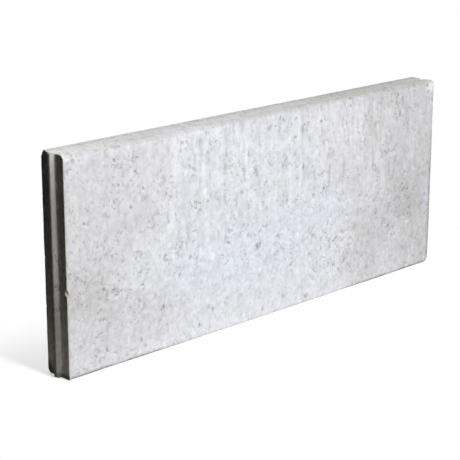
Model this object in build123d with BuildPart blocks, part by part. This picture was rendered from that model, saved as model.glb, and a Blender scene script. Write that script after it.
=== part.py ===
"""Concrete edging kerb stone: an upright slab with a tongue on one end and a groove in the other.

X runs along the kerb with the tongue at its negative end, the bevelled front face looks
towards negative Y, and Z is up. The origin is the middle of the base of the working length,
which runs from the shoulders beside the tongue to the end face around the groove.
"""

import os

from build123d import *

os.makedirs("parts", exist_ok=True)

# Slab. The working length is what one kerb adds to a laid row.
working_length = 1000.0
height = 400.0
thickness = 60.0

# Bevel at 45 degrees along the top edge of the front face; every other long edge is square.
front_bevel = 6.0

# Moulded rounding of the four upright corners of the slab.
corner_radius = 1.5

# Tongue: a tapered rib over the full height of one end, centred on the thickness.
tongue_projection = 8.0
tongue_root_width = 15.0
tongue_tip_width = 8.0
tongue_tip_radius = 2.0

# Groove: takes the tongue of the next kerb with room at its flanks and beyond its tip.
groove_flank_clearance = 1.0
groove_tip_clearance = 2.0
groove_depth = tongue_projection + groove_tip_clearance
groove_mouth_width = tongue_root_width + 2 * groove_flank_clearance
groove_floor_width = tongue_tip_width + 2 * groove_flank_clearance
groove_floor_radius = tongue_tip_radius + groove_flank_clearance

# End planes of the working length, and the plane of the front face.
tongue_end = -working_length / 2
groove_end = working_length / 2
front_face = -thickness / 2

with BuildPart() as kerb_stone:
    # Plan outline of the slab with its tongue added and its groove taken away.
    with BuildSketch() as plan:
        Rectangle(working_length, thickness)
        slab_corners = plan.vertices()
        fillet(slab_corners, corner_radius)

        with BuildLine():
            Polyline(
                (tongue_end, -tongue_root_width / 2),
                (tongue_end - tongue_projection, -tongue_tip_width / 2),
                (tongue_end - tongue_projection, tongue_tip_width / 2),
                (tongue_end, tongue_root_width / 2),
                close=True,
            )
        make_face()
        tongue_tip_corners = plan.vertices().group_by(Axis.X)[0]
        fillet(tongue_tip_corners, tongue_tip_radius)

        with BuildLine():
            Polyline(
                (groove_end, -groove_mouth_width / 2),
                (groove_end - groove_depth, -groove_floor_width / 2),
                (groove_end - groove_depth, groove_floor_width / 2),
                (groove_end, groove_mouth_width / 2),
                close=True,
            )
        make_face(mode=Mode.SUBTRACT)
        groove_floor = plan.edges().filter_by(Axis.Y).group_by(Axis.X)[-2]
        fillet(groove_floor.vertices(), groove_floor_radius)
    extrude(amount=height)

    # Bevel along the upper front edge, run out past both ends.
    with BuildSketch(Plane.YZ):
        with BuildLine():
            Polyline(
                (front_face, height),
                (front_face + front_bevel, height),
                (front_face, height - front_bevel),
                close=True,
            )
        make_face()
    extrude(amount=working_length, both=True, mode=Mode.SUBTRACT)

kerb_stone.part.label = "kerb_stone"
export_step(kerb_stone.part, "parts/kerb_stone.step")
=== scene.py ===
"""Looks of the concrete kerb stone: a worn, pitted casting in place of the plain solid, on a studio floor.

All lengths are in metres. X runs along the kerb from its middle, the bevelled front face looks towards
negative Y, and Z is up from the base.
A span is written as the two places between which something changes, then its values before and after.
"""

import math

import bpy
import numpy as np
from mathutils import Matrix, Vector


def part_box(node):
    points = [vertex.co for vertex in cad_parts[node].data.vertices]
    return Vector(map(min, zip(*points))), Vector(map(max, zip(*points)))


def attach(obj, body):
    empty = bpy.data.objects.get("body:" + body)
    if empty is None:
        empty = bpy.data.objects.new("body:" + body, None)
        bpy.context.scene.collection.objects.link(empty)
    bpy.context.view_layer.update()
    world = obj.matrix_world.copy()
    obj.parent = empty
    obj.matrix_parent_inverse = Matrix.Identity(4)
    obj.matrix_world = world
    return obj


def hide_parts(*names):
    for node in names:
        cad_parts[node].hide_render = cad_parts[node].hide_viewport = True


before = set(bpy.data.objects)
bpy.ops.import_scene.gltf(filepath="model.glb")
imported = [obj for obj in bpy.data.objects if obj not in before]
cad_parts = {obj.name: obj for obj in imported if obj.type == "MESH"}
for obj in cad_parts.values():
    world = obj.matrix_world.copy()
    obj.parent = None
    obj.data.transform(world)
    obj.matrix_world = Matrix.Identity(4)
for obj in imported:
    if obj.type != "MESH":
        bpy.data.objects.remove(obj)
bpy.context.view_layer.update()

# The casting. Its outer box is the solid's; the tongue sticks out of the slab's left end.
low, high = (np.array(corner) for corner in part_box("kerb_stone"))
TONGUE_LENGTH = 0.008
TONGUE_ROOT_HALF = 0.0075
TONGUE_TIP_HALF = 0.004
GROOVE_DEPTH = 0.010
GROOVE_MOUTH_HALF = 0.0085
GROOVE_FLOOR_HALF = 0.005
JOINT_ROUNDING_SHARE = 0.30
JOINT_REACH = 0.03
FRONT_BEVEL = 0.006
BEVEL_SOFTNESS = 0.0007
slab_low = low + (TONGUE_LENGTH, 0, 0)
slab_high = high
left_end = slab_low[0]
right_end = slab_high[0]
top_level = slab_high[2]

# Mesh spacing before it is thinned out: fine along the edges, wider on the faces.
EDGE_BAND = 0.010
EDGE_STEP = 0.0010
LENGTH_STEP = 0.0014
HEIGHT_STEP = 0.0018
LAND_STEP = 0.0018
FLANK_STEP = 0.0007
TRIANGLES_KEPT = 190_000

# Wear of the edges: the usual radius, what long and short waves add to it, and the least that stays.
EDGE_WEAR = 0.0013
EDGE_WEAR_LONG = 0.0006
EDGE_WEAR_LONG_CELL = 0.02
EDGE_WEAR_SHORT = 0.0004
EDGE_WEAR_SHORT_CELL = 0.005
EDGE_WEAR_LEAST = 0.0004

# Wear of the bevel in long and short waves.
BEVEL_WEAR_LONG = 0.0005
BEVEL_WEAR_LONG_CELL = 0.03
BEVEL_WEAR_SHORT = 0.0003
BEVEL_WEAR_SHORT_CELL = 0.006

# The front of the foot is worn more, and most towards its ends.
FOOT_WEAR = 0.0045
FOOT_BAND = 0.012
FOOT_START = 0.01
FOOT_MIDDLE_SHARE = 0.1
FOOT_UNEVEN_SHARE = 0.3
FOOT_UNEVEN_CELL = 0.04

# Hollows pressed into the faces. Drag marks are where the mould was drawn off upwards.
SWELL_DEPTH = 0.00030
SWELL_CELL = 0.055
GRAIN_DEPTH = 0.00014
GRAIN_CELL = 0.0080
GRAIN_CROWD_CELL = 0.02
GRAIN_CROWD_SHARE = 0.3
DRAG_DEPTH = 0.00050
DRAG_CELL = (0.0095, 0.05, 0.055)
DRAG_GAP_SHARE = 0.1
DRAG_START = 0.12
DRAG_FULL = 0.26
DRAG_FACING = 0.7

# Pits, with the number to the square metre of every face and the range of their radii. Each is a few bowls
# that overlap, with an uneven rim. Stretch, dirt and shares are drawn between two limits.
PITS_PER_AREA = 2600
PIT_SMALLEST = 0.0011
PIT_LARGEST = 0.0034
PIT_SIZE_POWER = 0.32
PIT_DEPTH_SHARE = 0.52
PIT_FACING = 0.5
PIT_REACH_SHARE = 1.4
PIT_RIM_SHARE = 0.28
PIT_RIM_CELL = 0.003
PIT_CROWD_CELL = 0.05
PIT_CROWD_FINE_CELL = 0.015
PIT_CROWD_FINE_SHARE = 0.5
PIT_CHANCE = 0.7
PIT_STRETCH = (0.8, 1.3)
DRAGGED_PIT_STRETCH = (1.2, 2.6)
PIT_DIRT = (0.30, 0.60)
PIT_DIRT_RISE = 2
BOWLS = 3
BOWL_SHIFT_SHARE = 0.8
BOWL_RADIUS_SHARES = (0.6, 1.0)

# Pixels of the photograph at which a deep pit of the front face is seen.
PITS_SEEN = [
    (114, 162), (135, 172), (118.5, 186), (143, 188.5), (114, 204), (84, 225), (169, 222), (196, 209),
    (242, 193), (229, 243), (123, 263), (167, 256), (190, 258), (140, 274), (117, 296), (162, 309),
    (213, 310), (200, 326), (142, 341), (107, 349.5), (297, 179), (324, 189), (339, 202), (360, 196),
    (376, 214), (395, 225), (402, 248), (310, 255), (304, 168), (296, 138), (322, 123), (333, 265),
    (344, 261), (283, 297), (305, 297), (262.5, 309.5),
]
SEEN_PIT_RADIUS = 0.0036
SEEN_PIT_DIRT = (0.4, 0.8)
SEEN_PIT_STRETCH = (0.8, 1.8)
SEEN_BOWL_SHIFT_SHARE = 0.60
SEEN_BOWL_RADIUS_SHARES = (0.50, 0.90)
SEEN_FIRST_BOWL_SHARE = 0.9
LARGE_PITS_SEEN = [(260.5, 244), (257.5, 249)]
LARGE_PIT_RADIUS = 0.0054
LARGE_PIT_DIRT = 1.0

# Nicks along the edges, and how deep they bite. A ball with an uneven skin breaks each one out.
NICKS_PER_LENGTH = 20
NICK_SMALLEST = 0.003
NICK_LARGEST = 0.009
NICK_SIZE_POWER = 0.5
NICK_BITE = (0.0005, 0.0016)
BALL_REACH_SHARE = 1.2
BALL_UNEVEN_SHARE = 0.07
BALL_UNEVEN_CELL = 0.004

# Larger damage: a nick in the left edge, and broken corners with the place of each ball from its corner
# and its radius.
LEFT_NICK_PIXEL = (69.5, 293.5)
LEFT_NICK_RADIUS = 0.0055
LEFT_NICK_DEPTH = 0.0040
LEFT_NICK_INSET = 0.0005
RIGHT_FRONT_TOP = (right_end, slab_low[1], top_level)
TONGUE_FOOT = (left_end - TONGUE_LENGTH, 0, slab_low[2])
LEFT_BACK_FOOT = (left_end, slab_high[1], slab_low[2])
LEFT_BACK_TOP = (left_end, slab_high[1], top_level)
CORNER_BREAKS = [
    (RIGHT_FRONT_TOP, (0.010, -0.008, 0.006), 0.016),
    (RIGHT_FRONT_TOP, (0.006, -0.006, -0.020), 0.010),
    (TONGUE_FOOT, (-0.006, -0.004, -0.004), 0.010),
    (LEFT_BACK_FOOT, (-0.005, 0.004, -0.006), 0.013),
    (LEFT_BACK_TOP, (-0.012, 0.000, 0.004), 0.018),
]

# The right end of the front foot is broken off along a slanting plane.
RIGHT_FOOT = (right_end, slab_low[1], slab_low[2])
RIGHT_FOOT_FACING = (0.70, -0.35, -0.62)
RIGHT_FOOT_DEPTH = 0.0030
RIGHT_FOOT_SOFTNESS = 0.0020
RIGHT_FOOT_UNEVEN = 0.001
RIGHT_FOOT_UNEVEN_CELL = 0.006

# Camera of the photograph.
CAMERA_PLACE = (-2.0094, -1.9401, 0.9611)
CAMERA_TURN = math.radians(44.861)
CAMERA_DIP = math.radians(15.903)
CAMERA_LENS = 117.0
SENSOR_WIDTH = 36.0
PHOTO_SIDE = 460
camera_turn = Matrix.Rotation(-CAMERA_TURN, 4, "Z") @ Matrix.Rotation(math.pi / 2 - CAMERA_DIP, 4, "X")

# Studio. The floor is white paper close round the kerb and fades into the white background. Each lamp has
# its place, the point that it looks at, its width and height, and its watts.
AMBIENT = 0.009
LAMPS = {
    "front": ((-0.50, -3.4, 1.6), (-0.1, 0, 0.2), 0.5, 0.9, 82.0),
    "side": ((0.25, -2.6, 2.9), (-0.1, 0, 0.2), 1.4, 1.2, 82.0),
    "back": ((1.5, 2.4, 0.85), (0.1, 0, 0.2), 1.4, 0.8, 75.0),
}
FLOOR_REACH = 4.0
FLOOR_GAP = 0.0003
FLOOR_GLOW = 0.55
PAPER_NEAR_KERB = (0.04, 0.30, 1.0, 0.0)
FLOOR_LIT = (0.72, 0.72, 0.72, 1)
FLOOR_BOUNCE = (0.32, 0.32, 0.32, 1)
BLACK = (0, 0, 0, 1)
WHITE = (1, 1, 1, 1)

# Colours of the concrete, as the share of red, green and blue light that it sends back.
PALE = (0.772, 0.780, 0.820, 1)
GREY = (0.690, 0.687, 0.708, 1)
WEATHERED = (0.548, 0.537, 0.542, 1)
BLUISH = (0.760, 0.788, 0.868, 1)
LILAC = (0.715, 0.705, 0.775, 1)
WARM_GREY = (0.71, 0.70, 0.66, 1)
STAIN = (0.44, 0.41, 0.36, 1)
EDGE_GREY = (0.40, 0.40, 0.40, 1)
# Fresh breaks, and also a painted highlight along the left end of the top and at the front's top left
# corner.
FRESH_BREAK_AND_HIGHLIGHT = (0.93, 0.93, 0.90, 1)
TOP_PALE = (0.88, 0.88, 0.86, 1)
# Earth on the top face, and painted shade on the bevel.
TOP_DIRT_AND_BEVEL_SHADE = (0.54, 0.53, 0.48, 1)
TOP_BROWN = (0.53, 0.48, 0.44, 1)
TOP_GREY = (0.56, 0.56, 0.56, 1)
# Painted contact shadow along the foot of the left end, partly damp soil.
SOIL_AND_SHADE = (0.11, 0.095, 0.08, 1)
CREAM = (0.66, 0.63, 0.57, 1)
TONGUE_GREY = (0.62, 0.62, 0.615, 1)
# Painted shade down the tongue, and a painted contact shadow with grime along the front's foot.
PAINTED_SHADE_AND_GRIME = (0.20, 0.185, 0.165, 1)
# A darker, warmer tone on the shoulders of the left end.
END_SHOULDER_TONE = (0.62, 0.57, 0.51, 1)

# Noise in the colour swings about its middle. A patch is whole up to the first share of its radii and gone
# at the second.
NOISE_MIDDLE = 0.5
NOISE_SPREAD = 0.2
PATCH_EDGE = (0.4, 1.2, 1.0, 0.0)
RAGGED_CELL = 0.06
RAGGED_DETAIL = 4.0

# Clouds of the faces: a pale middle, weathering towards the right, and a tint that wanders.
CLOUD_CELL = 0.11
CLOUD_SHIFT = 0.07
PALE_AT_LEFT = (-0.40, -0.22, 0.0, 1.0)
PALE_AT_RIGHT = (0.08, 0.42, 1.0, 0.0)
WEATHERED_ALONG = (0.15, 0.52, 0.0, 0.64)
WEATHERED_UPWARDS = (0.10, 0.38, 1.0, 0.62)
TINT_CELL = (0.020, 0.05, 0.045)
LILAC_TINT = (0.52, 0.66, 0.0, 0.45)
WARM_TINT = (0.48, 0.34, 0.0, 0.20)

# Patches of the front face: the photograph's pixel at the middle, the radii, the strength, a pattern number
# and for a stain, a fresh break or a painted highlight its colour.
BLUE_PATCHES = [
    ((213, 262), (0.14, 0.05, 0.075), 0.75, 21.0),
    ((272, 246), (0.15, 0.05, 0.085), 0.75, 22.0),
    ((326, 208), (0.07, 0.05, 0.05), 0.75, 29.0),
]
BLUE_RAGGEDNESS = 0.9
FRONT_PATCHES = [
    ((84, 294), (0.045, 0.05, 0.05), 0.28, 23.0, STAIN),
    ((132, 318), (0.100, 0.05, 0.07), 0.12, 32.0, STAIN),
    ((402, 200), (0.060, 0.05, 0.045), 0.23, 24.0, EDGE_GREY),
    ((212.8, 256), (0.0065, 0.05, 0.0095), 1.0, 26.0, FRESH_BREAK_AND_HIGHLIGHT),
    # A painted highlight at the front's top left corner.
    ((64, 157), (0.0120, 0.03, 0.0100), 0.9, 30.0, FRESH_BREAK_AND_HIGHLIGHT),
    ((406.5, 221.3), (0.0110, 0.05, 0.0030), 0.8, 27.0, FRESH_BREAK_AND_HIGHLIGHT),
    ((431.5, 85), (0.0200, 0.02, 0.0170), 0.85, 28.0, FRESH_BREAK_AND_HIGHLIGHT),
    ((427.6, 85.5), (0.0060, 0.03, 0.0045), 0.75, 34.0, EDGE_GREY),
    ((428.4, 91), (0.0060, 0.03, 0.0040), 0.65, 36.0, EDGE_GREY),
]
FRONT_PATCH_RAGGEDNESS = 1.2

# Drag marks in the colour of the upper faces, from broad streaks and long lines to short dashes.
STREAK_CELL = (0.0105, 0.03, 0.040)
STREAK_TONE = 0.038
STREAK_SPREAD = 0.18
BROAD_STREAK_CELL = (0.035, 0.05, 0.12)
BROAD_STREAK_TONE = 0.014
LINE_CELL = (0.0125, 0.05, 0.13)
PALE_LINES = (0.58, 0.68, 0.0, 0.044)
DARK_LINES = (0.40, 0.30, 0.0, -0.038)
DASH_CELL = (0.0115, 0.05, 0.026)
DARK_DASHES = (0.60, 0.70, 0.0, -0.110)
STREAK_FOOT_CELL = 0.08
STREAK_FOOT_SHIFT = 0.06
STREAKS_UPWARDS = (0.10, 0.27, 0.25, 1.0)
STREAKS_AT_LEFT = (-0.40, -0.10, 0.6, 1.3)
STREAKS_AT_RIGHT = (0.33, 0.47, 1.0, 0.6)
STREAKS_ON_TOP = (0.5, 0.9, 1.0, 0.1)

# Drag marks that stand out on the front face: the photograph's pixel column, the top and bottom rows,
# and how much paler or darker the mark is.
PALE_MARK = 0.105
DARK_MARK = -0.17
MARK_HALF_WIDTH = 0.0036
MARK_HALF_DEPTH = 0.05
MARK_RAGGEDNESS = 0.9
MARK_PATTERN = 60.0
MARKS_SEEN = [
    (186.0, 166, 192, PALE_MARK),
    (203.0, 160, 188, PALE_MARK),
    (222.5, 163, 220, PALE_MARK),
    (246.5, 138, 178, PALE_MARK),
    (299.0, 116, 140, PALE_MARK),
    (300.5, 146, 196, PALE_MARK),
    (348.0, 142, 158, PALE_MARK),
    (363.0, 132, 162, PALE_MARK),
    (199.5, 136, 152, DARK_MARK),
    (195.0, 154, 172, DARK_MARK),
    (200.0, 176, 190, DARK_MARK),
    (303.0, 118, 136, DARK_MARK),
    (303.5, 160, 174, DARK_MARK),
    (296.0, 148, 170, DARK_MARK),
    (343.0, 113, 131, DARK_MARK),
    (343.5, 160, 179, DARK_MARK),
    (330.0, 164, 181, DARK_MARK),
    (358.0, 116, 131, DARK_MARK),
]

# Mottling: the cell, the detail of the noise, the strength and a pattern number. Creases run between.
MOTTLES = [
    (0.030, 3.0, 0.028, 5.0),
    (0.015, 1.0, 0.038, 6.0),
    (0.0085, 1.0, 0.036, 7.0),
]
CREASE_CELL = (0.0115, 0.0115, 0.0135)
CREASE_TONES = (0.0, 0.15, -0.070, 0.035)
CREASES_UPWARDS = (0.12, 0.28, 1.0, 0.6)

# Mouths of trapped air: curled lines broken into short bits. Some places of the front face are crowded with
# them, written as the patches are, and one has few.
MOUTH_CELL = (0.0125, 0.0125, 0.0185)
MOUTH_LINES = (0.135, 0.040, 0.0, 1.0)
MOUTH_BIT_CELL = 0.0080
MOUTH_BITS = (0.53, 0.64, 0.0, 1.0)
MOUTH_CROWD_CELL = 0.040
MOUTH_CROWDS = (0.46, 0.62, 0.0, 1.0)
CROWDED = [
    ((334, 246), (0.070, 0.05, 0.050), 1.0, 41.0),
    ((268, 185), (0.040, 0.05, 0.030), 1.0, 42.0),
    ((108, 251), (0.060, 0.05, 0.030), 0.9, 43.0),
    ((120, 180), (0.050, 0.05, 0.060), 0.8, 44.0),
    ((322, 184), (0.040, 0.05, 0.040), 1.0, 45.0),
    ((82, 290), (0.050, 0.05, 0.060), 0.8, 46.0),
    ((157, 306), (0.040, 0.05, 0.030), 0.6, 47.0),
    ((400, 197), (0.060, 0.05, 0.060), 0.9, 48.0),
]
CROWD_RAGGEDNESS = 0.8
QUIET_PIXEL = (225, 300)
QUIET_RADII = (0.24, 0.05, 0.075)
QUIET_PATTERN = 49.0
QUIET_CROWDS = (0.0, 1.0, 1.0, 0.35)

# Pinholes and pale flecks: the cell that can hold one, the share of cells that do, and the largest radius
# in cells before crowding.
PINHOLE_CELL = 0.0088
PINHOLE_SHARE = 0.40
PINHOLE_PATTERN = 9.0
FLECK_SHARE = 0.35
FLECK_PATTERN = 17.0
PINHOLE_SQUASH = (1, 1, 0.75)
PINHOLE_LARGEST_SHARE = 0.48
PINHOLE_CROWD_CELL = 0.034
PINHOLE_CROWDS = (0.40, 0.65, 0.0, 1.6)
PINHOLE_RIM = (0.0, 0.16, 0.0, 1.0)

# The top face: paler at the left, partly a painted highlight, with a painted highlight along its left end;
# dirtier to the right and along its back edge, in bands.
TOP_FACING = (0.75, 0.95, 0.0, 1.0)
# Paler at the left, partly a painted highlight.
TOP_PALE_AND_HIGHLIGHT_ALONG = (left_end, left_end + 0.30, 0.9, 0.0)
TOP_DIRT_ALONG = (-0.45, 0.30, 0.05, 0.76)
# A painted highlight along the left end of the top.
TOP_RIM_HIGHLIGHT_ALONG = (left_end, left_end + 0.060, 0.8, 0.0)
TOP_EARTH_CELL = (0.13, 0.03, 0.13)
TOP_BROWN_EARTH = (0.50, 0.62, 0.0, 1.0)
TOP_BROWN_ALONG = (0.30, 0.40, 1.0, 0.0)
TOP_GREY_EARTH = (0.48, 0.38, 0.0, 1.0)
TOP_BACK_EDGE = (0.004, 0.026, 1.0, 0.845)
TOP_FRONT_EDGE = (-0.024, 0.010, 1.03, 0.97)
TOP_BAND_CELL = (0.14, 0.010, 0.10)
TOP_BANDS = (0.3, 0.7, 0.93, 1.07)

# The left end: a darker, warmer tone on its shoulders, painted shade that deepens down the tongue, and
# along the foot a painted contact shadow that is partly damp soil, darker at the back foot corner.
SHOULDER_ALONG = (left_end + 0.0014, left_end + 0.0004, 0.0, 1.0)
TONGUE_ALONG = (left_end - 0.0002, left_end - 0.0012, 0.0, 1.0)
# Painted shade on the tongue, deepening towards its foot.
TONGUE_SHADE_ABOVE = (0.42, 0.29, 0.0, 0.53)
TONGUE_SHADE_BELOW = (0.25, 0.08, 0.0, 0.34)
# Painted contact shadow along the foot, partly damp soil, and darker at the back foot corner.
DAMP_AND_SHADE_UPWARDS = (0.014, 0.004, 0.0, 0.95)
DARK_CORNER_RADII = (0.020, 0.024, 0.032)
DARK_CORNER_RAGGEDNESS = 0.6
DARK_CORNER_PATTERN = 53.0

# Edges: a painted contact shadow with grime along the foot, painted shade along the right edge, and a cream
# line down the left edge.
# Painted contact shadow with grime along the front's foot, more towards the ends.
FOOT_SHADE_AND_GRIME_UPWARDS = (0.008, 0.001, 0.0, 1.0)
FOOT_SHADE_AND_GRIME_CELL = 0.05
FOOT_SHADE_AND_GRIME_BITS = (0.35, 0.6, 0.4, 1.0)
FOOT_SHADE_AND_GRIME_TO_ENDS = (0.15, 0.42, 0.1, 1.0)
CREAM_INNER_EDGE = (left_end + 0.008, left_end + 0.002, 0.0, 1.0)
CREAM_OUTER_EDGE = (left_end + 0.0004, left_end + 0.0014, 0.0, 0.7)
CREAM_UPWARDS = (top_level - 0.030, top_level - 0.010, 1.0, 0.0)
# Painted shade along the right edge, stronger on its lower part.
RIGHT_SHADE_ALONG = (right_end - 0.012, right_end - 0.003, 0.0, 1.0)
RIGHT_SHADE_UPWARDS = (0.34, 0.22, 0.10, 0.72)

# The bevel: painted shade on its upper half and, more lightly, all over it, and a change of tone on the
# strip under it.
BEVEL_NOT_TOP = (0.95, 0.80, 0.0, 1.0)
# Painted shade on the upper half of the bevel, more towards the right.
BEVEL_SHADE_FACING = (0.15, 0.45, 0.0, 1.0)
BEVEL_SHADE_UPWARDS = (top_level - 0.0075, top_level - 0.0015, 0.25, 1.0)
BEVEL_SHADE_ALONG = (-0.45, 0.15, 0.15, 0.50)
# Painted shade all over the bevel, more towards the right.
BEVEL_FACING = (0.06, 0.35, 0.0, 1.0)
BEVEL_UPWARDS = (top_level - 0.012, top_level - 0.007, 0.0, 1.0)
BEVEL_ALONG = (-0.40, 0.0, 0.11, 0.17)
UNDER_BEVEL_UPWARDS = (top_level - 0.030, top_level - 0.009, 0.0, 1.0)
UNDER_BEVEL_FACING = (0.30, 0.10, 0.0, 1.0)
UNDER_BEVEL_ALONG = (-0.30, 0.10, -0.045, 0.075)
UNDER_BEVEL_AT_RIGHT = (0.25, 0.44, 1.0, 0.3)

# Tones of the skin and of what lies in it, the shine, and the bump with each feature's share in it.
SKIN_TONE = 1.012
MOUTH_TONE = (0.0, 1.0, 1.0, 0.77)
PINHOLE_TONE = (0.0, 1.0, 1.0, 0.87)
FLECK_TONE = (0.0, 1.0, 1.0, 1.07)
HOLLOW_TONE = (0.1, 1.0, 1.0, 0.64)
ROUGH_CELL = 0.012
ROUGHNESS = (0.3, 0.7, 0.80, 0.97)
SPECULAR = 0.25
BUMP_STRENGTH = 0.6
BUMP_DEPTH = 0.0008
GRAIN_BUMP_SHARE = 2.0
STREAK_BUMP_SHARE = 1.5
MOUTH_BUMP_SHARE = 1.2
PINHOLE_BUMP_SHARE = 0.6

# Random numbers. Every layer of noise reads the table from another place.
RANDOM_SEED = 11
NOISE_TABLE_SHAPE = (521, 37, 257)
LAYER_SHIFT = 17.3
noise_table = np.random.default_rng(RANDOM_SEED).uniform(-1, 1, NOISE_TABLE_SHAPE)


def smooth_noise(points, cell, layer):
    """Noise from -1 to 1 at each point, with features about a cell wide; each layer is another pattern."""
    scaled = points / np.asarray(cell) + LAYER_SHIFT * layer
    base = np.floor(scaled).astype(int)
    part = scaled - base
    part = part * part * (3 - 2 * part)
    total = np.zeros(len(points))
    for corner in np.ndindex(2, 2, 2):
        index = (base + corner) % noise_table.shape
        weight = np.prod(np.where(corner, part, 1 - part), axis=1)
        total += weight * noise_table[tuple(index.T)]
    return total


def graded(start, stop, step):
    """Stations from start to stop: close together near both ends, about a step apart between."""
    edge = np.arange(0, EDGE_BAND, EDGE_STEP)
    steps = round((stop - start - 2 * EDGE_BAND) / step)
    inner = np.linspace(start + EDGE_BAND, stop - EDGE_BAND, steps + 1)
    return np.concatenate([start + edge, inner, stop - edge[::-1]])


def thickness_stations():
    """Stations across the thickness, closest at the flanks of the tongue and groove."""
    flank_start = GROOVE_MOUTH_HALF + FLANK_STEP
    flank_stop = TONGUE_TIP_HALF - FLANK_STEP
    edge = np.arange(slab_high[1], slab_high[1] - EDGE_BAND, -EDGE_STEP)
    land = np.arange(edge[-1] - LAND_STEP, flank_start + LAND_STEP / 2, -LAND_STEP)
    flank = np.arange(flank_start, flank_stop, -FLANK_STEP)
    half = np.concatenate([edge, land, flank])
    middle = np.linspace(-flank_stop, flank_stop, round(2 * flank_stop / LAND_STEP) + 2)
    return np.concatenate([-half, middle, half[::-1]])


def block_grid(xs, ys, zs):
    """Points and outward quads of a closed block with grid lines at the given stations."""
    shape = (len(xs), len(ys), len(zs))
    inside = np.zeros(shape, bool)
    inside[1:-1, 1:-1, 1:-1] = True
    index = np.full(shape, -1)
    index[~inside] = np.arange((~inside).sum())
    grid = np.stack(np.meshgrid(xs, ys, zs, indexing="ij"), axis=-1)
    points = grid[~inside]
    quads = []
    for axis in range(3):
        for end in (0, -1):
            side = np.take(index, end, axis=axis)
            quad = np.stack([side[:-1, :-1], side[1:, :-1], side[1:, 1:], side[:-1, 1:]], axis=-1)
            outward = (end == -1) != (axis == 1)
            quads.append((quad if outward else quad[..., ::-1]).reshape(-1, 4))
    return points, np.concatenate(quads)


def held_at_one(share):
    """The share itself where it is small, held at one with a rounded shoulder where it is large."""
    return (1 + share - np.sqrt((1 - share) ** 2 + JOINT_ROUNDING_SHARE ** 2)) / 2


def ramp(y, narrow, wide):
    """Share of a joint's full reach at y: none beyond its wide foot, one at its narrow middle."""
    share = (wide - np.abs(y)) / (wide - narrow)
    middle_share = wide / (wide - narrow)
    return np.clip(held_at_one(share) / held_at_one(middle_share), 0, 1)


def end_lines(y):
    """Where the left and right ends lie at y, with the tongue standing out and the groove cut in."""
    tongue = ramp(y, TONGUE_TIP_HALF, TONGUE_ROOT_HALF)
    groove = ramp(y, GROOVE_FLOOR_HALF, GROOVE_MOUTH_HALF)
    return left_end - TONGUE_LENGTH * tongue, right_end - GROOVE_DEPTH * groove


def shape_joints(points):
    """Draws the block's ends out to the tongue and in to the groove."""
    left, right = end_lines(points[:, 1])
    near_left = np.clip(1 - (points[:, 0] - left_end) / JOINT_REACH, 0, 1)
    near_right = np.clip(1 - (right_end - points[:, 0]) / JOINT_REACH, 0, 1)
    points[:, 0] += near_left * (left - left_end) + near_right * (right - right_end)


def wear_radius(points):
    """The radius to which an edge is worn at each point."""
    radius = EDGE_WEAR + EDGE_WEAR_LONG * smooth_noise(points, EDGE_WEAR_LONG_CELL, layer=1)
    radius += EDGE_WEAR_SHORT * smooth_noise(points, EDGE_WEAR_SHORT_CELL, layer=2)
    foot = np.clip(1 - (points[:, 2] - slab_low[2]) / FOOT_BAND, 0, 1)
    at_front = np.clip(-points[:, 1] / slab_high[1], 0, 1)
    at_front *= np.clip((points[:, 0] - left_end) / FOOT_START, 0, 1)
    towards_ends = (points[:, 0] / right_end) ** 2
    share = FOOT_MIDDLE_SHARE + towards_ends
    share += FOOT_UNEVEN_SHARE * smooth_noise(points, FOOT_UNEVEN_CELL, layer=4)
    radius += FOOT_WEAR * foot * at_front * share
    return np.clip(radius, EDGE_WEAR_LEAST, None)


def wear_edges(points):
    """Rounds every edge by an uneven radius, and returns which way each point faces."""
    radius = wear_radius(points)[:, None]
    left, right = end_lines(points[:, 1])
    lower = np.stack([left, np.full_like(left, slab_low[1]), np.full_like(left, slab_low[2])], axis=1)
    upper = np.stack([right, np.full_like(left, slab_high[1]), np.full_like(left, slab_high[2])], axis=1)
    core = np.clip(points, lower + radius, upper - radius)
    outward = points - core
    outward /= np.linalg.norm(outward, axis=1)[:, None]
    points[:] = core + outward * radius
    return outward


def cut_flat(points, facing, offset, softness):
    """Presses the points that lie beyond a plane back onto it."""
    over = points @ facing - offset
    depth = (over + np.sqrt(over * over + softness ** 2)) / 2
    points -= depth[:, None] * facing


def cut_bevel(points):
    """The bevel along the upper front edge, uneven where it is worn."""
    edge = np.array([0, slab_low[1] + FRONT_BEVEL / 2, slab_high[2] - FRONT_BEVEL / 2])
    facing = np.array([0, -1, 1]) / math.sqrt(2)
    wear = BEVEL_WEAR_LONG * np.abs(smooth_noise(points, BEVEL_WEAR_LONG_CELL, layer=6))
    wear += BEVEL_WEAR_SHORT * np.abs(smooth_noise(points, BEVEL_WEAR_SHORT_CELL, layer=7))
    cut_flat(points, facing, edge @ facing - wear, BEVEL_SOFTNESS)


def on_front(pixel):
    """Where the camera's ray through a pixel of the photograph meets the front face."""
    to_side = (pixel[0] / PHOTO_SIDE - 0.5) * SENSOR_WIDTH / CAMERA_LENS
    to_top = (0.5 - pixel[1] / PHOTO_SIDE) * SENSOR_WIDTH / CAMERA_LENS
    ray = camera_turn @ Vector((to_side, to_top, -1))
    steps = (slab_low[1] - CAMERA_PLACE[1]) / ray.y
    return np.array(CAMERA_PLACE) + steps * np.array(ray)


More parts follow.
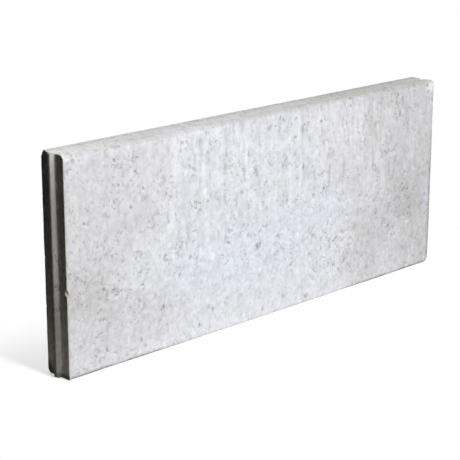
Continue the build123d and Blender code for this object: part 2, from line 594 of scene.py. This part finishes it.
class Carver:
    """Works on the points near a place without searching all of them."""

    def __init__(self, points, outward):
        self.points = points
        self.start = points.copy()
        self.outward = outward
        self.order = np.argsort(points[:, 0])
        self.sorted_x = points[self.order, 0]
        self.hollow = np.zeros(len(points))

    def near(self, x, reach):
        """The numbers of the points that lie within reach of x along the kerb."""
        first, last = np.searchsorted(self.sorted_x, [x - reach, x + reach])
        return self.order[first:last]

    def press_pit(self, centre, facing, radius, stretch, darkening):
        """A bowl with an uneven rim, stretched upwards, in the face that looks along facing."""
        picked = self.near(centre[0], PIT_REACH_SHARE * radius)
        offset = (self.start[picked] - centre) / (1, 1, stretch)
        ratio = np.linalg.norm(offset, axis=1) / radius
        ratio *= 1 + PIT_RIM_SHARE * smooth_noise(self.start[picked], PIT_RIM_CELL, layer=8)
        inside = (ratio < 1) & (self.outward[picked] @ facing > PIT_FACING)
        picked, ratio = picked[inside], ratio[inside]
        bowl = 1 - ratio ** 2
        self.points[picked] -= (PIT_DEPTH_SHARE * radius * bowl)[:, None] * facing
        self.hollow[picked] = np.maximum(self.hollow[picked], darkening * np.minimum(1, PIT_DIRT_RISE * bowl))

    def scoop(self, centre, radius):
        """Breaks out what lies inside an uneven ball."""
        picked = self.near(centre[0], BALL_REACH_SHARE * radius)
        offset = self.points[picked] - centre
        distance = np.linalg.norm(offset, axis=1)
        uneven = BALL_UNEVEN_SHARE * smooth_noise(self.start[picked], BALL_UNEVEN_CELL, layer=9)
        reach = radius * (1 + uneven)
        inside = distance < reach
        picked, offset = picked[inside], offset[inside]
        self.points[picked] = centre + offset * (reach[inside] / distance[inside])[:, None]


def press_hollows(carver):
    """Low swells and grain all over, and upright drag marks on the upper front and back."""
    points = carver.start
    swell = 0.5 + 0.5 * smooth_noise(points, SWELL_CELL, layer=3)
    crowd = GRAIN_CROWD_SHARE * smooth_noise(points, GRAIN_CROWD_CELL, layer=11)
    grain = np.clip(smooth_noise(points, GRAIN_CELL, layer=10) + crowd, 0, 1)
    drag = np.clip(smooth_noise(points, DRAG_CELL, layer=12) - DRAG_GAP_SHARE, 0, 1)
    drag *= np.clip((points[:, 2] - DRAG_START) / (DRAG_FULL - DRAG_START), 0, 1)
    drag *= np.abs(carver.outward[:, 1]) > DRAG_FACING
    depth = SWELL_DEPTH * swell + GRAIN_DEPTH * grain + DRAG_DEPTH * drag
    carver.points -= depth[:, None] * carver.outward


def scatter_pits(carver, random, facing, level):
    """Scattered pits in clusters on the face that looks along facing and lies at the level."""
    axis = int(np.argmax(np.abs(facing)))
    size = slab_high - slab_low
    count = round(PITS_PER_AREA * np.prod(np.delete(size, axis)))
    places = random.uniform(slab_low, slab_high, (count, 3))
    places[:, axis] = level
    crowd = smooth_noise(places, PIT_CROWD_CELL, layer=13)
    crowd += PIT_CROWD_FINE_SHARE * smooth_noise(places, PIT_CROWD_FINE_CELL, layer=14)
    for place, wanted, chance in zip(places, crowd, random.uniform(-PIT_CHANCE, PIT_CHANCE, count)):
        if wanted < chance:
            continue
        radius = PIT_SMALLEST + (PIT_LARGEST - PIT_SMALLEST) * random.power(PIT_SIZE_POWER)
        dragged = axis == 1 and place[2] > DRAG_START
        stretch = random.uniform(*(DRAGGED_PIT_STRETCH if dragged else PIT_STRETCH))
        darkening = random.uniform(*PIT_DIRT)
        for bowl in range(BOWLS):
            shift = random.normal(0, BOWL_SHIFT_SHARE * radius, 3) * (bowl > 0) * (1 - np.abs(facing))
            bowl_radius = radius * random.uniform(*BOWL_RADIUS_SHARES)
            carver.press_pit(place + shift, facing, bowl_radius, stretch, darkening)


def press_seen_pits(carver, random, pixels, largest):
    """The deep pits that the photograph shows on the front face at the pixels."""
    front = np.array([0.0, -1.0, 0.0])
    for pixel in pixels:
        place = on_front(pixel)
        for bowl in range(BOWLS):
            shift = random.normal(0, SEEN_BOWL_SHIFT_SHARE * largest, 3) * (bowl > 0) * (1, 0, 1)
            share = random.uniform(*SEEN_BOWL_RADIUS_SHARES) if bowl else SEEN_FIRST_BOWL_SHARE
            darkening = random.uniform(*SEEN_PIT_DIRT) if largest < LARGE_PIT_RADIUS else LARGE_PIT_DIRT
            stretch = random.uniform(*SEEN_PIT_STRETCH)
            carver.press_pit(place + shift, front, largest * share, stretch, darkening)


def press_pits(carver, random):
    """Scattered pits on every face but the base, and the ones that the photograph shows."""
    faces = [
        ((0, -1, 0), slab_low[1]), ((0, 1, 0), slab_high[1]), ((0, 0, 1), slab_high[2]),
        ((-1, 0, 0), left_end), ((1, 0, 0), right_end),
    ]
    for facing, level in faces:
        scatter_pits(carver, random, np.array(facing, float), level)
    press_seen_pits(carver, random, PITS_SEEN, SEEN_PIT_RADIUS)
    press_seen_pits(carver, random, LARGE_PITS_SEEN, LARGE_PIT_RADIUS)


def nicked_edges():
    """Both ends of every long and upright edge but the bevelled one."""
    low_x, low_y, low_z = slab_low
    high_x, high_y, high_z = slab_high
    edges = []
    for y, z in ((low_y, low_z), (high_y, low_z), (high_y, high_z)):
        edges.append((np.array([low_x, y, z]), np.array([high_x, y, z])))
    for x in (low_x, high_x):
        for y in (low_y, high_y):
            edges.append((np.array([x, y, low_z]), np.array([x, y, high_z])))
    return edges


def nick_edges(carver, random):
    """Small nicks along the edges, each broken out by a ball that only just reaches in."""
    middle = (slab_low + slab_high) / 2
    for start, stop in nicked_edges():
        away = np.sign((start + stop) / 2 - middle) * (start == stop)
        away /= np.linalg.norm(away)
        for _ in range(round(NICKS_PER_LENGTH * np.linalg.norm(stop - start))):
            place = start + (stop - start) * random.uniform()
            radius = NICK_SMALLEST + (NICK_LARGEST - NICK_SMALLEST) * random.power(NICK_SIZE_POWER)
            bite = random.uniform(*NICK_BITE)
            carver.scoop(place + away * (radius - bite), radius)


def break_corners(carver):
    """The larger damage that the photograph shows."""
    nick = on_front(LEFT_NICK_PIXEL)
    nick[:2] = slab_low[:2]
    carver.scoop(nick + (LEFT_NICK_DEPTH - LEFT_NICK_RADIUS, LEFT_NICK_INSET, 0), LEFT_NICK_RADIUS)
    for corner, offset, radius in CORNER_BREAKS:
        carver.scoop(np.array(corner) + offset, radius)
    uneven = RIGHT_FOOT_UNEVEN * smooth_noise(carver.start, RIGHT_FOOT_UNEVEN_CELL, layer=15)
    facing = np.array(RIGHT_FOOT_FACING) / np.linalg.norm(RIGHT_FOOT_FACING)
    offset = np.array(RIGHT_FOOT) @ facing - RIGHT_FOOT_DEPTH + uneven
    cut_flat(carver.points, facing, offset, RIGHT_FOOT_SOFTNESS)


def make_casting():
    """The kerb as one closed mesh, carved on a fine grid and then thinned out."""
    xs = graded(left_end, right_end, LENGTH_STEP)
    zs = graded(slab_low[2], slab_high[2], HEIGHT_STEP)
    points, quads = block_grid(xs, thickness_stations(), zs)
    shape_joints(points)
    outward = wear_edges(points)
    carver = Carver(points, outward)
    random = np.random.default_rng(RANDOM_SEED + 1)
    press_hollows(carver)
    press_pits(carver, random)
    cut_bevel(points)
    nick_edges(carver, random)
    break_corners(carver)

    mesh = bpy.data.meshes.new("kerb_casting")
    mesh.from_pydata(points.tolist(), [], quads.tolist())
    hollow = mesh.attributes.new("hollow", "FLOAT", "POINT")
    hollow.data.foreach_set("value", carver.hollow)
    mesh.update()
    piece = bpy.data.objects.new("kerb_casting", mesh)
    bpy.context.scene.collection.objects.link(piece)
    thin_out(piece)
    return piece


def thin_out(piece):
    """Joins small triangles where the surface is nearly flat, so the piece keeps the stated number."""
    triangles = 2 * len(piece.data.polygons)
    thin = piece.modifiers.new("thin", "DECIMATE")
    thin.ratio = min(1, TRIANGLES_KEPT / triangles)
    thinned = bpy.data.meshes.new_from_object(piece.evaluated_get(bpy.context.evaluated_depsgraph_get()))
    piece.modifiers.clear()
    full = piece.data
    piece.data = thinned
    thinned.name = "kerb_casting"
    bpy.data.meshes.remove(full)
    thinned.polygons.foreach_set("use_smooth", np.ones(len(thinned.polygons), bool))


class Nodes:
    """Builds a node tree; a socket's value is a number, a colour or another node's output."""

    def __init__(self, tree):
        self.tree = tree

    def fill(self, socket, value):
        """Sets the socket to the value or links it to the output."""
        if isinstance(value, bpy.types.NodeSocket):
            self.tree.links.new(value, socket)
        else:
            socket.default_value = value

    def add(self, kind, sockets=None, **settings):
        """A new node with its settings made and its sockets filled."""
        node = self.tree.nodes.new("ShaderNode" + kind)
        for name, value in settings.items():
            setattr(node, name, value)
        for socket, value in (sockets or {}).items():
            self.fill(node.inputs[socket], value)
        return node

    def math(self, operation, first, second=0.0):
        return self.add("Math", {0: first, 1: second}, operation=operation).outputs[0]

    def plus(self, total, *others):
        for other in others:
            total = self.math("ADD", total, other)
        return total

    def times(self, product, *others):
        for other in others:
            product = self.math("MULTIPLY", product, other)
        return product

    def span(self, value, start, stop, first, last):
        """Goes smoothly from first to last while the value goes from start to stop."""
        sockets = {"Value": value, "From Min": start, "From Max": stop, "To Min": first, "To Max": last}
        return self.add("MapRange", sockets, interpolation_type="SMOOTHSTEP").outputs["Result"]


class Concrete(Nodes):
    """The concrete's nodes, with the place on the kerb and how far the surface faces upward."""

    def __init__(self):
        self.material = bpy.data.materials.new("concrete")
        self.material.use_nodes = True
        super().__init__(self.material.node_tree)
        self.shader = self.tree.nodes["Principled BSDF"]
        self.place = self.add("TexCoord").outputs["Object"]
        self.x, self.y, self.z = self.add("SeparateXYZ", {0: self.place}).outputs
        normal = self.add("NewGeometry").outputs["True Normal"]
        self.upward = self.add("SeparateXYZ", {0: normal}).outputs["Z"]
        self.ragged = {}

    def noise(self, cell, detail, layer, waves=0.0):
        """Noise with features about one cell wide; the cell is a length or a length along each axis."""
        scale = [1 / side for side in (cell if isinstance(cell, tuple) else (cell, cell, cell))]
        sockets = {"Vector": self.place, "Location": (layer, 2 * layer, 3 * layer), "Scale": scale}
        moved = self.add("Mapping", sockets).outputs[0]
        sockets = {"Vector": moved, "Scale": 1.0, "Detail": detail, "Distortion": waves}
        return self.add("TexNoise", sockets).outputs["Fac"]

    def swing(self, noise, depth, spread=NOISE_SPREAD):
        """Turns noise into a value that swings by the depth to both sides of none."""
        return self.span(noise, NOISE_MIDDLE - spread, NOISE_MIDDLE + spread, -depth, depth)

    def off_middle(self, noise):
        """How far the noise is from its middle, which is none along curled lines."""
        return self.math("ABSOLUTE", self.math("SUBTRACT", noise, NOISE_MIDDLE))

    def mix(self, share, first, second):
        sockets = {"Factor": share, 6: first, 7: second}
        return self.add("Mix", sockets, data_type="RGBA").outputs[2]

    def shade(self, colour, factor):
        """The colour times a factor."""
        return self.add("VectorMath", {0: colour, "Scale": factor}, operation="SCALE").outputs[0]

    def patch(self, centre, radii, raggedness, layer):
        """A soft patch with ragged edges: one in its middle, none outside."""
        offset = self.add("VectorMath", {0: self.place, 1: centre}, operation="SUBTRACT").outputs[0]
        sockets = {0: offset, 1: [1 / radius for radius in radii]}
        scaled = self.add("VectorMath", sockets, operation="MULTIPLY").outputs[0]
        distance = self.add("VectorMath", {0: scaled}, operation="LENGTH").outputs["Value"]
        if layer not in self.ragged:
            self.ragged[layer] = self.noise(RAGGED_CELL, RAGGED_DETAIL, layer)
        ragged = self.times(self.ragged[layer], raggedness)
        distance = self.math("SUBTRACT", self.plus(distance, ragged), raggedness * NOISE_MIDDLE)
        return self.span(distance, *PATCH_EDGE)


def cloudy_colour(concrete):
    """Paler towards the middle of the length, dirtier at the right, bluish in the middle of the front."""
    clouds = concrete.noise(CLOUD_CELL, detail=3.0, layer=1.0)
    along = concrete.plus(concrete.x, concrete.swing(clouds, CLOUD_SHIFT))
    pale = concrete.times(concrete.span(along, *PALE_AT_LEFT), concrete.span(along, *PALE_AT_RIGHT))
    colour = concrete.mix(pale, GREY, PALE)
    weathered = concrete.times(
        concrete.span(along, *WEATHERED_ALONG),
        concrete.span(concrete.z, *WEATHERED_UPWARDS),
    )
    colour = concrete.mix(weathered, colour, WEATHERED)
    tint = concrete.noise(TINT_CELL, detail=2.0, layer=25.0)
    colour = concrete.mix(concrete.span(tint, *LILAC_TINT), colour, LILAC)
    colour = concrete.mix(concrete.span(tint, *WARM_TINT), colour, WARM_GREY)
    for pixel, radii, share, layer in BLUE_PATCHES:
        patch = concrete.patch(on_front(pixel), radii, BLUE_RAGGEDNESS, layer)
        colour = concrete.mix(concrete.times(patch, share), colour, BLUISH)
    # Stains, fresh breaks and a painted highlight at the front's top left corner.
    for pixel, radii, share, layer, patch_colour in FRONT_PATCHES:
        patch = concrete.patch(on_front(pixel), radii, FRONT_PATCH_RAGGEDNESS, layer)
        colour = concrete.mix(concrete.times(patch, share), colour, patch_colour)
    return colour


def seen_mark(concrete, column, top, bottom, depth):
    """One of the drag marks that stand out in the photograph."""
    upper = on_front((column, top))
    lower = on_front((column, bottom))
    radii = (MARK_HALF_WIDTH, MARK_HALF_DEPTH, (upper[2] - lower[2]) / 2)
    mark = concrete.patch((upper + lower) / 2, radii, MARK_RAGGEDNESS, MARK_PATTERN)
    return concrete.times(mark, depth)


def streaks(concrete):
    """Upright pale and dark drag marks on the upper part of the faces."""
    fine = concrete.noise(STREAK_CELL, detail=1.0, layer=2.0, waves=0.5)
    broad = concrete.noise(BROAD_STREAK_CELL, detail=1.0, layer=3.0)
    lines = concrete.noise(LINE_CELL, detail=1.0, layer=37.0, waves=0.3)
    dashes = concrete.noise(DASH_CELL, detail=1.0, layer=38.0, waves=0.4)
    marks = concrete.plus(
        concrete.swing(fine, STREAK_TONE, STREAK_SPREAD),
        concrete.swing(broad, BROAD_STREAK_TONE),
        concrete.span(lines, *PALE_LINES),
        concrete.span(lines, *DARK_LINES),
        concrete.span(dashes, *DARK_DASHES),
    )
    foot = concrete.noise(STREAK_FOOT_CELL, detail=2.0, layer=4.0)
    height = concrete.plus(concrete.z, concrete.swing(foot, STREAK_FOOT_SHIFT))
    marks = concrete.times(
        marks,
        concrete.span(height, *STREAKS_UPWARDS),
        concrete.span(concrete.x, *STREAKS_AT_LEFT),
        concrete.span(concrete.x, *STREAKS_AT_RIGHT),
        concrete.span(concrete.upward, *STREAKS_ON_TOP),
    )
    for mark in MARKS_SEEN:
        marks = concrete.plus(marks, seen_mark(concrete, *mark))
    return marks


def grains(concrete):
    """Mottling from patches down to sand, with shallow creases in the skin."""
    mottles = []
    for cell, detail, depth, layer in MOTTLES:
        mottles.append(concrete.swing(concrete.noise(cell, detail, layer), depth))
    creases = concrete.off_middle(concrete.noise(CREASE_CELL, detail=1.0, layer=39.0, waves=0.3))
    creases = concrete.span(creases, *CREASE_TONES)
    lower = concrete.span(concrete.z, *CREASES_UPWARDS)
    return concrete.plus(*mottles, concrete.times(creases, lower))


def air_mouths(concrete):
    """Short curled mouths of trapped air, crowded in some places and missing in others."""
    lines = concrete.off_middle(concrete.noise(MOUTH_CELL, detail=1.0, layer=31.0, waves=0.4))
    lines = concrete.span(lines, *MOUTH_LINES)
    bits = concrete.span(concrete.noise(MOUTH_BIT_CELL, detail=1.0, layer=33.0), *MOUTH_BITS)
    crowd = concrete.span(concrete.noise(MOUTH_CROWD_CELL, detail=3.0, layer=35.0), *MOUTH_CROWDS)
    quiet = concrete.patch(on_front(QUIET_PIXEL), QUIET_RADII, CROWD_RAGGEDNESS, QUIET_PATTERN)
    crowd = concrete.times(crowd, concrete.span(quiet, *QUIET_CROWDS))
    for pixel, radii, share, layer in CROWDED:
        patch = concrete.patch(on_front(pixel), radii, CROWD_RAGGEDNESS, layer)
        crowd = concrete.math("MAXIMUM", crowd, concrete.times(patch, share))
    return concrete.times(lines, bits, crowd)


def pinholes(concrete, share, layer):
    """One in the middle of scattered pinholes, none between them."""
    sockets = {"Vector": concrete.place, "Location": (layer, layer, layer), "Scale": PINHOLE_SQUASH}
    moved = concrete.add("Mapping", sockets).outputs[0]
    holes = concrete.add("TexVoronoi", {"Vector": moved, "Scale": 1 / PINHOLE_CELL})
    chosen = concrete.add("SeparateColor", {0: holes.outputs["Color"]}).outputs["Red"]
    crowd = concrete.span(concrete.noise(PINHOLE_CROWD_CELL, detail=4.0, layer=layer + 1), *PINHOLE_CROWDS)
    radius = concrete.times(concrete.span(chosen, 1 - share, 1.0, 0.0, PINHOLE_LARGEST_SHARE), crowd)
    inside = concrete.math("SUBTRACT", radius, holes.outputs["Distance"])
    return concrete.span(inside, *PINHOLE_RIM)


def top_colour(concrete, colour):
    """The top face: paler at the left with a painted highlight at its end, dirtier to the right, with earth
    of three kinds.
    """
    upward = concrete.span(concrete.upward, *TOP_FACING)
    pale_with_highlight = concrete.times(upward, concrete.span(concrete.x, *TOP_PALE_AND_HIGHLIGHT_ALONG))
    colour = concrete.mix(pale_with_highlight, colour, TOP_PALE)
    rim_highlight = concrete.times(upward, concrete.span(concrete.x, *TOP_RIM_HIGHLIGHT_ALONG))
    colour = concrete.mix(rim_highlight, colour, FRESH_BREAK_AND_HIGHLIGHT)
    kind = concrete.noise(TOP_EARTH_CELL, detail=1.0, layer=51.0)
    brown = concrete.times(
        concrete.span(kind, *TOP_BROWN_EARTH),
        concrete.span(concrete.x, *TOP_BROWN_ALONG),
    )
    earth = concrete.mix(brown, TOP_DIRT_AND_BEVEL_SHADE, TOP_BROWN)
    earth = concrete.mix(concrete.span(kind, *TOP_GREY_EARTH), earth, TOP_GREY)
    darkening = concrete.times(upward, concrete.span(concrete.x, *TOP_DIRT_ALONG))
    colour = concrete.mix(darkening, colour, earth)
    return concrete.shade(colour, top_tone(concrete, upward))


def top_tone(concrete, upward):
    """Darker towards the back edge of the top face, in bands along the kerb."""
    bands = concrete.noise(TOP_BAND_CELL, detail=2.0, layer=52.0)
    tone = concrete.times(
        concrete.span(concrete.y, *TOP_BACK_EDGE),
        concrete.span(concrete.y, *TOP_FRONT_EDGE),
        concrete.span(bands, *TOP_BANDS),
    )
    return concrete.plus(concrete.times(concrete.math("SUBTRACT", tone, 1.0), upward), 1.0)


def end_colour(concrete, colour):
    """The left end: darker, warmer shoulders, painted shade down the tongue, and a painted contact shadow,
    partly damp soil, at the foot.
    """
    shoulder = concrete.span(concrete.x, *SHOULDER_ALONG)
    colour = concrete.mix(shoulder, colour, END_SHOULDER_TONE)
    tongue = concrete.span(concrete.x, *TONGUE_ALONG)
    colour = concrete.mix(tongue, colour, TONGUE_GREY)
    darkening = concrete.plus(
        concrete.span(concrete.z, *TONGUE_SHADE_ABOVE),
        concrete.span(concrete.z, *TONGUE_SHADE_BELOW),
    )
    colour = concrete.mix(concrete.times(tongue, darkening), colour, PAINTED_SHADE_AND_GRIME)
    corner = concrete.patch(LEFT_BACK_FOOT, DARK_CORNER_RADII, DARK_CORNER_RAGGEDNESS, DARK_CORNER_PATTERN)
    damp_and_shade = concrete.math("MAXIMUM", concrete.span(concrete.z, *DAMP_AND_SHADE_UPWARDS), corner)
    return concrete.mix(concrete.times(shoulder, damp_and_shade), colour, SOIL_AND_SHADE)


def edge_colour(concrete, colour):
    """Painted contact shadow with grime along the foot, painted shade along the right edge, and a cream
    line down the left edge.
    """
    foot = concrete.times(
        concrete.span(concrete.z, *FOOT_SHADE_AND_GRIME_UPWARDS),
        concrete.span(concrete.noise(FOOT_SHADE_AND_GRIME_CELL, detail=3.0, layer=15.0), *FOOT_SHADE_AND_GRIME_BITS),
        concrete.span(concrete.math("ABSOLUTE", concrete.x), *FOOT_SHADE_AND_GRIME_TO_ENDS),
    )
    colour = concrete.mix(foot, colour, PAINTED_SHADE_AND_GRIME)
    left = concrete.times(
        concrete.span(concrete.x, *CREAM_INNER_EDGE),
        concrete.span(concrete.x, *CREAM_OUTER_EDGE),
        concrete.span(concrete.z, *CREAM_UPWARDS),
    )
    colour = concrete.mix(left, colour, CREAM)
    right = concrete.times(
        concrete.span(concrete.x, *RIGHT_SHADE_ALONG),
        concrete.span(concrete.z, *RIGHT_SHADE_UPWARDS),
    )
    return concrete.mix(right, colour, EDGE_GREY)


def bevel_colour(concrete, colour):
    """Painted shade on the bevel, most on its upper half and towards the right."""
    darkening = concrete.times(
        concrete.span(concrete.upward, *BEVEL_SHADE_FACING),
        concrete.span(concrete.upward, *BEVEL_NOT_TOP),
        concrete.span(concrete.z, *BEVEL_SHADE_UPWARDS),
        concrete.span(concrete.x, *BEVEL_SHADE_ALONG),
    )
    return concrete.mix(darkening, colour, TOP_DIRT_AND_BEVEL_SHADE)


def bevel_tone(concrete):
    """Painted shade on the bevel, and darker just under it; at the left the strip under the bevel is paler
    instead.
    """
    bevel = concrete.times(
        concrete.span(concrete.upward, *BEVEL_FACING),
        concrete.span(concrete.upward, *BEVEL_NOT_TOP),
        concrete.span(concrete.z, *BEVEL_UPWARDS),
        concrete.span(concrete.x, *BEVEL_ALONG),
    )
    under = concrete.times(
        concrete.span(concrete.z, *UNDER_BEVEL_UPWARDS),
        concrete.span(concrete.upward, *UNDER_BEVEL_FACING),
        concrete.span(concrete.x, *UNDER_BEVEL_ALONG),
        concrete.span(concrete.x, *UNDER_BEVEL_AT_RIGHT),
    )
    return concrete.math("SUBTRACT", concrete.math("SUBTRACT", 1.0, bevel), under)


def make_concrete():
    """Pressed concrete: cloudy grey with drag marks, sand, pinholes and dirt in its hollows."""
    concrete = Concrete()
    colour = cloudy_colour(concrete)
    for add_colour in (top_colour, end_colour, edge_colour, bevel_colour):
        colour = add_colour(concrete, colour)

    grain = grains(concrete)
    drawn = streaks(concrete)
    mouths = air_mouths(concrete)
    holes = pinholes(concrete, PINHOLE_SHARE, PINHOLE_PATTERN)
    flecks = pinholes(concrete, FLECK_SHARE, FLECK_PATTERN)
    hollow = concrete.add("Attribute", attribute_name="hollow").outputs["Fac"]
    tone = concrete.times(
        concrete.plus(drawn, grain, SKIN_TONE),
        concrete.span(mouths, *MOUTH_TONE),
        concrete.span(holes, *PINHOLE_TONE),
        concrete.span(flecks, *FLECK_TONE),
        concrete.span(hollow, *HOLLOW_TONE),
        bevel_tone(concrete),
    )
    relief = concrete.plus(
        concrete.times(grain, GRAIN_BUMP_SHARE),
        concrete.times(drawn, STREAK_BUMP_SHARE),
        concrete.times(mouths, -MOUTH_BUMP_SHARE),
        concrete.times(holes, -PINHOLE_BUMP_SHARE),
    )
    bump = concrete.add("Bump", {"Strength": BUMP_STRENGTH, "Distance": BUMP_DEPTH, "Height": relief})
    rough = concrete.span(concrete.noise(ROUGH_CELL, detail=3.0, layer=13.0), *ROUGHNESS)
    shader = concrete.shader.inputs
    concrete.fill(shader["Base Color"], concrete.shade(colour, tone))
    concrete.fill(shader["Roughness"], rough)
    concrete.fill(shader["Specular IOR Level"], SPECULAR)
    concrete.fill(shader["Normal"], bump.outputs[0])
    return concrete.material


def make_camera():
    """A pinhole camera where the photograph was taken."""
    camera = bpy.data.objects.new("camera", bpy.data.cameras.new("camera"))
    camera.data.lens = CAMERA_LENS
    camera.data.sensor_width = SENSOR_WIDTH
    camera.matrix_world = Matrix.Translation(CAMERA_PLACE) @ camera_turn
    bpy.context.scene.collection.objects.link(camera)
    bpy.context.scene.camera = camera


def camera_ray(nodes):
    """One for what the camera sees straight, in a mirror or through glass, none for other light."""
    path = nodes.add("LightPath").outputs
    seen = path["Is Camera Ray"]
    for name in ("Is Glossy Ray", "Is Transmission Ray"):
        seen = nodes.math("MAXIMUM", seen, path[name])
    return seen


def distance_from_kerb(nodes):
    """Distance on the floor from the kerb's middle plane, measured round its ends."""
    place = nodes.add("NewGeometry").outputs["Position"]
    x, y, _ = nodes.add("SeparateXYZ", {0: place}).outputs
    beyond = nodes.math("SUBTRACT", nodes.math("ABSOLUTE", x), right_end)
    past_end = nodes.math("MAXIMUM", beyond, 0.0)
    join = nodes.add("CombineXYZ", {"X": past_end, "Y": y}).outputs[0]
    return nodes.add("VectorMath", {0: join}, operation="LENGTH").outputs["Value"]


def make_paper():
    """White paper that keeps the kerb's shadow and passes a little light on to the kerb's foot."""
    material = bpy.data.materials.new("floor")
    material.use_nodes = True
    nodes = Nodes(material.node_tree)
    nodes.tree.nodes.clear()
    near = nodes.span(distance_from_kerb(nodes), *PAPER_NEAR_KERB)

    def shader(kind, sockets=None):
        return nodes.add(kind, sockets).outputs[0]

    lit = shader("BsdfDiffuse", {"Color": FLOOR_LIT})
    glow = shader("Emission", {"Strength": FLOOR_GLOW})
    paper = shader("AddShader", {0: lit, 1: glow})
    seen = shader("MixShader", {0: near, 1: shader("Emission"), 2: paper})
    black = shader("BsdfDiffuse", {"Color": BLACK})
    bounce = shader("BsdfDiffuse", {"Color": FLOOR_BOUNCE})
    passed_on = shader("MixShader", {0: near, 1: black, 2: bounce})
    surface = shader("MixShader", {0: camera_ray(nodes), 1: passed_on, 2: seen})
    nodes.add("OutputMaterial", {"Surface": surface})
    return material


def make_floor():
    """A wide level sheet just under the kerb."""
    mesh = bpy.data.meshes.new("floor")
    reach = FLOOR_REACH
    corners = [(-reach, -reach, 0), (reach, -reach, 0), (reach, reach, 0), (-reach, reach, 0)]
    mesh.from_pydata(corners, [], [(0, 1, 2, 3)])
    floor = bpy.data.objects.new("floor", mesh)
    floor.location.z = low[2] - FLOOR_GAP
    bpy.context.scene.collection.objects.link(floor)
    mesh.materials.append(make_paper())


def make_world():
    """White where the camera sees it, a faint even light everywhere else."""
    world = bpy.data.worlds.new("studio")
    world.use_nodes = True
    nodes = Nodes(world.node_tree)
    sockets = {"Value": camera_ray(nodes), "To Min": AMBIENT, "To Max": 1}
    strength = nodes.add("MapRange", sockets).outputs["Result"]
    background = nodes.tree.nodes["Background"].inputs
    nodes.fill(background["Color"], WHITE)
    nodes.fill(background["Strength"], strength)
    bpy.context.scene.world = world


def make_lamp(name, place, target, width, height, watts):
    """A broad soft lamp that looks at the target."""
    lamp = bpy.data.objects.new(name, bpy.data.lights.new(name, "AREA"))
    lamp.data.shape = "RECTANGLE"
    lamp.data.size = width
    lamp.data.size_y = height
    lamp.data.energy = watts
    lamp.location = place
    lamp.rotation_euler = (Vector(target) - Vector(place)).to_track_quat("-Z", "Y").to_euler()
    bpy.context.scene.collection.objects.link(lamp)


def make_studio():
    """The floor, the background and the lamps: two before the front face and one behind."""
    make_floor()
    make_world()
    for name, lamp in LAMPS.items():
        make_lamp(name, *lamp)


casting = make_casting()
casting.data.materials.append(make_concrete())
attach(casting, "root")
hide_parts("kerb_stone")
make_camera()
make_studio()
bpy.context.scene.view_settings.view_transform = "Standard"
